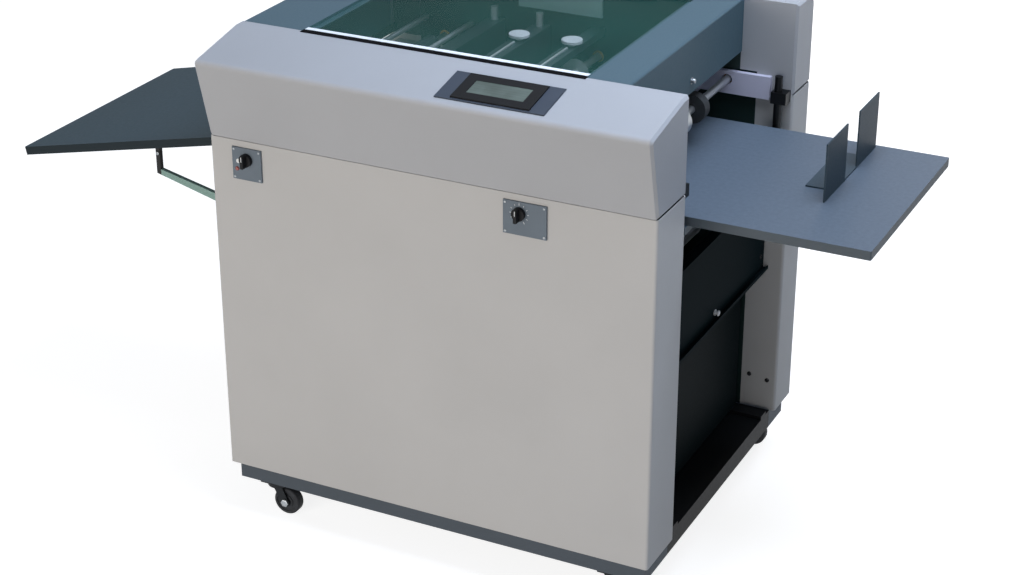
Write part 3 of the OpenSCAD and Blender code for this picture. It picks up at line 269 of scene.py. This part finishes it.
# A white plastic for the lid's edge strip, white as a painted highlight of the edge
edge_highlight_pvc = moulded("white_pvc_as_painted_edge_highlight", "#e9edf0", rough=(0.3, 0.4), depth_mm=0.02)


def tinted_acrylic():
    """Cast acrylic sheet, tinted blue-green all through: dark from outside, see-through, glossy.

    The tint is held in the sheet's opacity, so that light still reaches the works below it."""
    material, tree, shader, place = new_material("tinted_cast_acrylic", Alpha=0.16, IOR=1.49,
                                                 Specular_IOR_Level=0.2)
    tint = mottle(tree, place, 120, linear("#0f6259"), linear("#1a7266"))
    wipes = add(tree, "TexNoise", {"Scale": per_metre(90), "Detail": 4.0}, {"Vector": place})
    haze = drift_between(tree, wipes.outputs["Fac"], (0.03, 0.1))
    tree.links.new(tint, shader.inputs["Base Color"])
    tree.links.new(haze, shader.inputs["Roughness"])
    return material


def display_glass():
    """A grey-green display under glass: fine rows, drawn 1.2 mm apart to show, and a soft drift."""
    material, tree, shader, place = new_material("grey_green_display_glass", Roughness=0.12,
                                                 Coat_Weight=0.4)
    rows = add(tree, "TexWave", {"wave_type": "BANDS", "bands_direction": "Y",
                                 "Scale": per_metre(1.2) / 20}, {"Vector": place})
    glow = mottle(tree, place, 60, linear("#424f49"), linear("#57655e"))
    mix = add(tree, "Mix", {"data_type": "RGBA", 0: 0.006}, {6: glow, 7: rows.outputs["Color"]})
    tree.links.new(mix.outputs[2], shader.inputs["Base Color"])
    return material


def sleeved_roller(name, colour, first, step, length, count):
    """Rubber sleeves on a ground shaft: dull dark bands between lengths of bright steel.

    The sleeves are given in millimetres along the roller: first edge, spacing, length and count."""
    material, tree, shader, place = new_material(name)
    along = add(tree, "SeparateXYZ", {}, {"Vector": place}).outputs["Y"]
    run = add(tree, "Math", {"operation": "SUBTRACT", 1: at(0, first, 0).y}, {0: along}).outputs[0]
    beat = add(tree, "Math", {"operation": "FLOORED_MODULO", 1: step * MM}, {0: run}).outputs[0]
    reach = ((count - 1) * step + length) * MM
    slack = 0.1 * MM
    sleeve = both(tree, within(tree, beat, 0.0, length * MM),
                  within(tree, run, -slack, reach + slack))
    bloom = mottle(tree, place, 10, linear(colour), shade(colour, 1.5))
    tone = add(tree, "Mix", {"data_type": "RGBA", 6: linear("#ccd0d3")}, {0: sleeve, 7: bloom})
    metal = add(tree, "Math", {"operation": "SUBTRACT", 0: 1.0}, {1: sleeve})
    tree.links.new(tone.outputs[2], shader.inputs["Base Color"])
    tree.links.new(metal.outputs[0], shader.inputs["Metallic"])
    tree.links.new(drift_between(tree, sleeve, (0.45, 0.7)), shader.inputs["Roughness"])
    return material


def signal_lens():
    """A moulded polycarbonate lens: deep red, clear and glossy, unlit."""
    material, tree, shader, place = new_material(
        "red_polycarbonate_lens", Transmission_Weight=0.35, Roughness=0.12, IOR=1.58)
    tone = mottle(tree, place, 4, linear("#8e3a36"), linear("#b4544d"))
    tree.links.new(tone, shader.inputs["Base Color"])
    return material


lid_acrylic = tinted_acrylic()
screen = display_glass()
roller_finish = sleeved_roller("ground_rubber_sleeves", "#2b3033", 188, 397 / 3, 62, 4)
tyre_finish = sleeved_roller("moulded_rubber_tyres", "#26292b", 312.5, 186, 24, 2)
red_lens = signal_lens()

CORNERS = ("front_left", "front_right", "rear_left", "rear_right")

# The nodes that wear each finish
FINISH = {
    panel_paint: ["front_panel", "rear_panel"],
    hood_paint: ["front_hood", "hood_caps"],
    rear_hood_painted_shade_coat: ["rear_hood"],
    cover_paint: ["top_cover"],
    lower_paint: ["feed_panel", "delivery_panel"],
    dark_paint: ["back_stops", "table_carriage", "tray_brackets"],
    base_coat_with_painted_shade: ["base_frame"],
    inner_paint: ["front_side_frame", "rear_side_frame"],
    register_paint: ["register_wall"],
    stay_paint: ["tray_stays"],
    motor_paint: ["drive_motor"],
    table_board: ["feed_table"],
    tray_board: ["exit_tray"],
    tool_steel: ["paper_deck", "crease_matrix", "cutter_bed", "motor_pulley"],
    satin_steel: ["tie_bars", "guide_posts", "slitter_lower", "slitter_upper"],
    zinc_steel: ["lid_hinges", "lid_clamps"],
    black_steel: ["lift_rails", "caster_plates"] + ["fork_" + corner for corner in CORNERS],
    beam_alloy: ["cutter_head"],
    bridge_alloy: ["slitter_bridge"],
    crease_alloy: ["crease_head"],
    bush_bronze: ["shaft_bushes"],
    roller_finish: ["feed_roller_lower", "feed_roller_upper", "exit_roller_lower",
                    "exit_roller_upper"],
    tyre_finish: ["pick_roller"],
    belt_rubber: ["drive_belt"],
    tyre_rubber: ["wheel_" + corner for corner in CORNERS],
    black_abs: ["touch_panel", "power_inlet", "power_knob", "dial_knob"],
    grey_abs: ["control_plates"],
    slate_abs: ["console_plate"],
    knob_abs: ["slitter_knob", "crease_knob"],
    bin_abs: ["waste_bin"],
    screen: ["screen_glass"],
    lid_acrylic: ["window_lid"],
}
for material, names in FINISH.items():
    for name in names:
        nodes[name].data.materials.clear()
        nodes[name].data.materials.append(material)

# Broken edges that catch the light, by node: bevel width in millimetres
EDGES = {
    "front_panel": 0.8, "front_hood": 0.8, "hood_caps": 1.0, "rear_panel": 0.8, "rear_hood": 0.8,
    "top_cover": 0.8, "feed_table": 1.5, "exit_tray": 1.5, "back_stops": 0.8, "console_plate": 0.6,
    "touch_panel": 0.8, "control_plates": 0.8, "base_frame": 2.0, "register_wall": 1.0,
    "window_lid": 0.6, "waste_bin": 0.8, "feed_panel": 0.6, "power_knob": 0.8,
    "dial_knob": 0.8, "tray_stays": 0.8,
}
for name, width in EDGES.items():
    bevel = nodes[name].modifiers.new("broken_edges", "BEVEL")
    bevel.width = width * MM
    bevel.segments = 2
    bevel.limit_method = "ANGLE"
    bevel.angle_limit = math.radians(40)
    bevel.harden_normals = False


# Small fittings

def place_piece(name, mesh, material, body):
    """Puts a finished mesh in the scene, on its body."""
    piece = bpy.data.objects.new(name, mesh)
    bpy.context.scene.collection.objects.link(piece)
    mesh.materials.append(material)
    for face in mesh.polygons:
        face.use_smooth = True
    mesh.set_sharp_from_angle(angle=math.radians(35))
    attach(piece, body)


def turned(build, origin, axis, rings, sides=24):
    """Adds a closed turned form: rings of (radius, height, corners), corners 0 for a round ring."""
    spin = Vector((0, 0, 1)).rotation_difference(Vector(axis)).to_matrix()
    loops = []
    for radius, height, corners in rings:
        loop = []
        for k in range(sides):
            turn = 2 * math.pi * k / sides
            reach = radius
            if corners:
                wedge = math.pi / corners
                reach = radius * math.cos(wedge) / math.cos((turn % (2 * wedge)) - wedge)
            corner = Vector((reach * math.cos(turn), reach * math.sin(turn), height)) * MM
            loop.append(build.verts.new(origin + spin @ corner))
        loops.append(loop)
    for low, high in zip(loops, loops[1:]):
        for k in range(sides):
            build.faces.new((low[k], low[(k + 1) % sides], high[(k + 1) % sides], high[k]))
    build.faces.new(list(reversed(loops[0])))
    build.faces.new(loops[-1])


def finish_mesh(build, name):
    """Turns a bmesh into a mesh with its faces pointing outwards."""
    bmesh.ops.recalc_face_normals(build, faces=build.faces)
    mesh = bpy.data.meshes.new(name)
    build.to_mesh(mesh)
    build.free()
    return mesh


def button_head(radius):
    """Rings of a button-head screw with a hexagon socket."""
    return [(radius, 0.0, 0), (radius, 0.2 * radius, 0), (0.9 * radius, 0.42 * radius, 0),
            (0.72 * radius, 0.56 * radius, 0), (0.52 * radius, 0.6 * radius, 0),
            (0.5 * radius, 0.58 * radius, 6), (0.48 * radius, 0.2 * radius, 6)]


def screws(name, body, radius, places, finish=zinc_steel):
    """One piece holding a set of button-head screws, each at a point and facing an axis."""
    build = bmesh.new()
    for point, axis in places:
        turned(build, at(*point), axis, button_head(radius))
    place_piece(name, finish_mesh(build, name), finish, body)


FRONT, BACK, LEFT, RIGHT, UP = (0, -1, 0), (0, 1, 0), (-1, 0, 0), (1, 0, 0), (0, 0, 1)
PLATE_SCREW_Z = (772.5, 829.5)
COLUMN_SCREWS = ((408, 198), (449, 191))
HINGE_X = (-220.5, 159.5)
LEAF_SCREWS = [x + offset for x in HINGE_X for offset in (-20, 20)]

screws("switch_plate_screws", "frame", 2.4,
       [((x, PLATE_FACE, z), FRONT) for x in (-414, -358) for z in PLATE_SCREW_Z])
screws("dial_plate_screws", "frame", 2.4,
       [((x, PLATE_FACE, z), FRONT) for x in (170.5, 249.5) for z in PLATE_SCREW_Z])
screws("column_screws", "frame", 5.0,
       [((x, REAR_WALL, z), FRONT) for x, z in COLUMN_SCREWS]
       + [((x, FRONT_WALL, z), BACK) for x, z in COLUMN_SCREWS], finish=black_steel)
screws("rear_panel_screws", "frame", 4.5,
       [((x, BACK_FACE, z), BACK) for x in (-440, -150, 150, 440) for z in (150, 816)])
screws("delivery_panel_screws", "frame", 4.5,
       [((DELIVERY_FACE, y, z), LEFT) for y in (160, 417, 675) for z in (150, 720)])
screws("feed_panel_screws", "frame", 4.5,
       [((FEED_FACE, y, z), RIGHT) for y in (152, 683) for z in (490, 615)], finish=black_steel)
screws("cover_screws", "frame", 4.5,
       [((x, 690, COVER_TOP), UP) for x in (-440, -60, 320)], finish=black_steel)
screws("hinge_screws", "frame", 3.0, [((x, 667, LID_TOP), UP) for x in LEAF_SCREWS])
screws("clamp_screws", "window_lid", 3.0, [((x, 623, LID_TOP), UP) for x in LEAF_SCREWS])
screws("inlet_screws", "frame", 2.6, [((x, BACK_FACE, 223.5), BACK) for x in (-265, -205)])
screws("stay_screws", "exit_tray", 4.0,
       [((-709, y, 712), axis) for y, axis in ((151, FRONT), (684, BACK))])


def bar(build, low, high):
    """Adds a slim bar between two corners in millimetres, its edges rounded a little."""
    middle = [(a + b) / 2 for a, b in zip(low, high)]
    size = [(b - a) for a, b in zip(low, high)]
    made = bmesh.ops.create_cube(build, size=1.0)["verts"]
    for vert in made:
        vert.co = at(*[m + c * s for m, c, s in zip(middle, vert.co, size)])
    edges = list(dict.fromkeys(edge for vert in made for edge in vert.link_edges))
    bmesh.ops.bevel(build, geom=edges, offset=0.18 * min(size) * MM, segments=2, affect="EDGES")


def bars(name, body, material, corners):
    """One piece made of slim bars."""
    build = bmesh.new()
    for low, high in corners:
        bar(build, low, high)
    place_piece(name, finish_mesh(build, name), material, body)


# The white strip along the lid's front edge, that the fingers lift; its white is a painted
# highlight of that edge
bars("lid_edge_painted_highlight", "window_lid", edge_highlight_pvc,
     [((-329, 136.6, 1034.4), (268, 138, 1041.6)),
      ((-329, 137.4, COVER_TOP), (268, 149, 1041.6))])
# The black seal on the hood and in the finger gap in front of it; its black is painted shadow of
# the gap
bars("painted_gap_shadow_seal", "frame", gap_shadow_black_rubber,
     [((-331, 121, COVER_TOP), (270, 135.8, 1041.4)),
      ((-331, 132.2, 1034.2), (270, 135.8, 1040.2))])
# The pale cover over the drive, on the inside of the rear side plate
bars("drive_cover", "frame", drive_paint, [((-150, 702, 950), (45, 707, 1030))])
# The guide strip above the way out to the tray, held between the hoods' walls
bars("delivery_guide", "frame", black_steel,
     [((-452.4, FRONT_WALL + 0.2, 850), (-450.6, REAR_WALL - 0.2, 869))])
# Pointer lines on the two knobs
for pointer, knob, x in (("switch_pointer", "power_knob", SWITCH_X),
                         ("dial_pointer", "dial_knob", DIAL_X)):
    bars(pointer, knob, mark_ink,
         [((x - 0.7, -23.9, KNOB_Z + 2), (x + 0.7, -23.2, KNOB_Z + 12))])


def dial_marks():
    """A scale round the dial: a short printed line every 30 degrees of its turn."""
    build = bmesh.new()
    centre = at(DIAL_X, 0, KNOB_Z)
    inner, short, tall, half_width, ink = 16.5, 19.5, 21.5, 0.5, 0.25
    for step in range(-5, 6):
        turn = math.radians(30 * step)
        along = Vector((math.sin(turn), 0, math.cos(turn)))
        side = Vector((along.z, 0, -along.x))
        corners = []
        for reach in (inner, tall if step % 5 == 0 else short):
            for across in (-half_width, half_width):
                for lift in (PLATE_FACE, PLATE_FACE - ink):
                    spot = along * reach + side * across + Vector((0, lift, 0))
                    corners.append(build.verts.new(centre + spot * MM))
        bmesh.ops.convex_hull(build, input=corners)
    place_piece("dial_marks", finish_mesh(build, "dial_marks"), mark_ink, "frame")


dial_marks()


def turned_piece(name, body, material, point, axis, rings):
    """One turned fitting at a point on the machine."""
    build = bmesh.new()
    turned(build, at(*point), axis, rings, sides=32)
    place_piece(name, finish_mesh(build, name), material, body)


# The signal lamp below the power switch, and the pale button-like boss beside it
turned_piece("signal_lamp", "frame", red_lens, (-408, PLATE_FACE, 790), FRONT,
             [(4.2, 0, 0), (4.2, 1.2, 0), (3.8, 2.2, 0), (2.8, 3.0, 0), (1.2, 3.4, 0)])
turned_piece("switch_boss", "frame", mark_ink, (-405, PLATE_FACE, 806), FRONT,
             [(4.5, 0, 0), (4.5, 0.8, 0), (4.0, 1.1, 0), (3.2, 0.6, 0), (1.0, 0.5, 0)])
# The pale catch on the feed side panel's lip, and the knurled nut on the cover's upright side
turned_piece("panel_catch", "frame", mark_ink, (FEED_FACE, 424, 473), RIGHT,
             [(6.5, 0, 0), (6.5, 2.0, 0), (4.0, 3.0, 0), (4.0, 6.0, 0), (6.0, 7.2, 0),
              (6.0, 9.0, 0), (4.6, 10.0, 0)])
turned_piece("cover_nut", "frame", zinc_steel, (355, 430, 951), RIGHT,
             [(7.0, 0, 0), (7.0, 1.0, 0), (5.2, 1.2, 12), (5.2, 7.0, 12), (4.4, 8.0, 0),
              (2.4, 8.6, 0)])


def axle_nuts():
    """Hexagon nuts on both ends of every caster's axle, riding its fork."""
    kingpin_x, trail, cheek, axle_z = 385, 22, 16.5, 30
    nut = [(8.6, 0.1, 6), (8.6, 3.6, 6), (7.4, 4.2, 6), (5.6, 4.3, 0), (5.2, 3.9, 0)]
    for corner in CORNERS:
        x = (-kingpin_x if "left" in corner else kingpin_x) + trail
        y = 48 if "front" in corner else 757
        build = bmesh.new()
        for side in (-1, 1):
            turned(build, at(x, y + side * cheek, axle_z), (0, side, 0), nut, sides=36)
        place_piece("axle_nuts_" + corner, finish_mesh(build, "axle_nuts"), zinc_steel,
                    "fork_" + corner)


axle_nuts()

# Stage, light and camera

def seen_directly(tree):
    """One for rays that look at the stage, straight or by gloss and glass, nought for light."""
    path = add(tree, "LightPath", {})
    seen = add(tree, "Math", {"operation": "MAXIMUM"},
               {0: path.outputs["Is Camera Ray"], 1: path.outputs["Is Transmission Ray"]})
    return add(tree, "Math", {"operation": "MAXIMUM"},
               {0: seen.outputs[0], 1: path.outputs["Is Glossy Ray"]}).outputs[0]


def stage_floor():
    """A plain pale floor, lifted towards white where it is looked at, that keeps the shadow."""
    material, tree, shader, place = new_material("pale_studio_floor", Roughness=0.9,
                                                 Specular_IOR_Level=0.1,
                                                 Emission_Color=linear("#ffffff"))
    tone = mottle(tree, place, 900, linear("#b6b6b5"), linear("#bababa"))
    reach = add(tree, "VectorMath", {"operation": "LENGTH"}, {"Vector": place}).outputs["Value"]
    rise = add(tree, "MapRange", {"From Min": 1.5, "From Max": 6.0, "To Min": 0.83, "To Max": 0.92},
               {"Value": reach}).outputs["Result"]
    tree.links.new(tone, shader.inputs["Base Color"])
    tree.links.new(both(tree, seen_directly(tree), rise), shader.inputs["Emission Strength"])
    build = bmesh.new()
    bmesh.ops.create_grid(build, x_segments=8, y_segments=8, size=14.0)
    mesh = finish_mesh(build, "studio_floor")
    mesh.materials.append(material)
    floor = bpy.data.objects.new("studio_floor", mesh)
    bpy.context.scene.collection.objects.link(floor)


def studio_world():
    """An even pale surround for light. Looked at, it is white round the floor and dims overhead."""
    world = bpy.data.worlds.new("studio_surround")
    world.use_nodes = True
    tree = world.node_tree
    way = add(tree, "SeparateXYZ", {}, {"Vector": add(tree, "TexCoord", {}).outputs["Generated"]})
    sweep = add(tree, "MapRange",
                {"From Min": 0.12, "From Max": 0.4, "To Min": 1.0, "To Max": 0.45},
                {"Value": way.outputs["Z"]})
    seen = seen_directly(tree)
    level = add(tree, "Mix", {"data_type": "FLOAT", 2: 0.19}, {0: seen, 3: sweep.outputs["Result"]})
    tone = add(tree, "Mix", {"data_type": "RGBA", 6: linear("#d8e8ff"), 7: linear("#ffffff")},
               {0: seen})
    surround = tree.nodes["Background"]
    tree.links.new(tone.outputs[2], surround.inputs["Color"])
    tree.links.new(level.outputs[0], surround.inputs["Strength"])
    bpy.context.scene.world = world


def soft_lamp(name, colour, watts, size, place, target):
    """A square soft box at a place, facing a target, both in metres."""
    lamp = bpy.data.lights.new(name, "AREA")
    lamp.shape = "SQUARE"
    lamp.size = size
    lamp.energy = watts
    lamp.color = linear(colour)[:3]
    stand = bpy.data.objects.new(name, lamp)
    stand.location = place
    stand.rotation_euler = (Vector(target) - Vector(place)).to_track_quat("-Z", "Y").to_euler()
    bpy.context.scene.collection.objects.link(stand)


stage_floor()
studio_world()
soft_lamp("key_soft_box", "#fff8f0", 124, 2.6, (-1.2, -4.6, 0.9), (0.0, -0.2, 0.4))
soft_lamp("fill_soft_box", "#fff8f0", 45, 1.8, (1.1, -4.3, 0.4), (0.2, -0.2, 0.3))
soft_lamp("top_soft_box", "#dce9ff", 75, 1.7, (0.9, 0.0, 2.95), (0.4, 0.0, 0.8))
soft_lamp("side_soft_box", "#c4dcff", 7, 2.0, (4.2, -0.6, 2.6), (0.3, 0.0, 0.8))
soft_lamp("rear_soft_box", "#fff8f0", 90, 1.5, (0.5, 4.7, 0.75), (0.0, 0.2, 0.5))
soft_lamp("left_soft_box", "#f2f6ff", 36, 1.5, (-4.6, 0.2, 0.75), (-0.3, 0.0, 0.5))


def photo_camera():
    """The camera at the photograph's angle, with a lens for a 36 mm sensor."""
    data = bpy.data.cameras.new("photo_camera")
    data.sensor_width = 36.0
    data.lens = 74.58
    data.clip_end = 60.0
    yaw, pitch = math.radians(26.36), math.radians(25.45)
    camera = bpy.data.objects.new("photo_camera", data)
    camera.rotation_euler = (math.pi / 2 - pitch, 0.0, yaw)
    camera.location = at(1757, -3177, 2345)
    bpy.context.scene.collection.objects.link(camera)
    bpy.context.scene.camera = camera


photo_camera()
bpy.context.scene.view_settings.view_transform = "Standard"
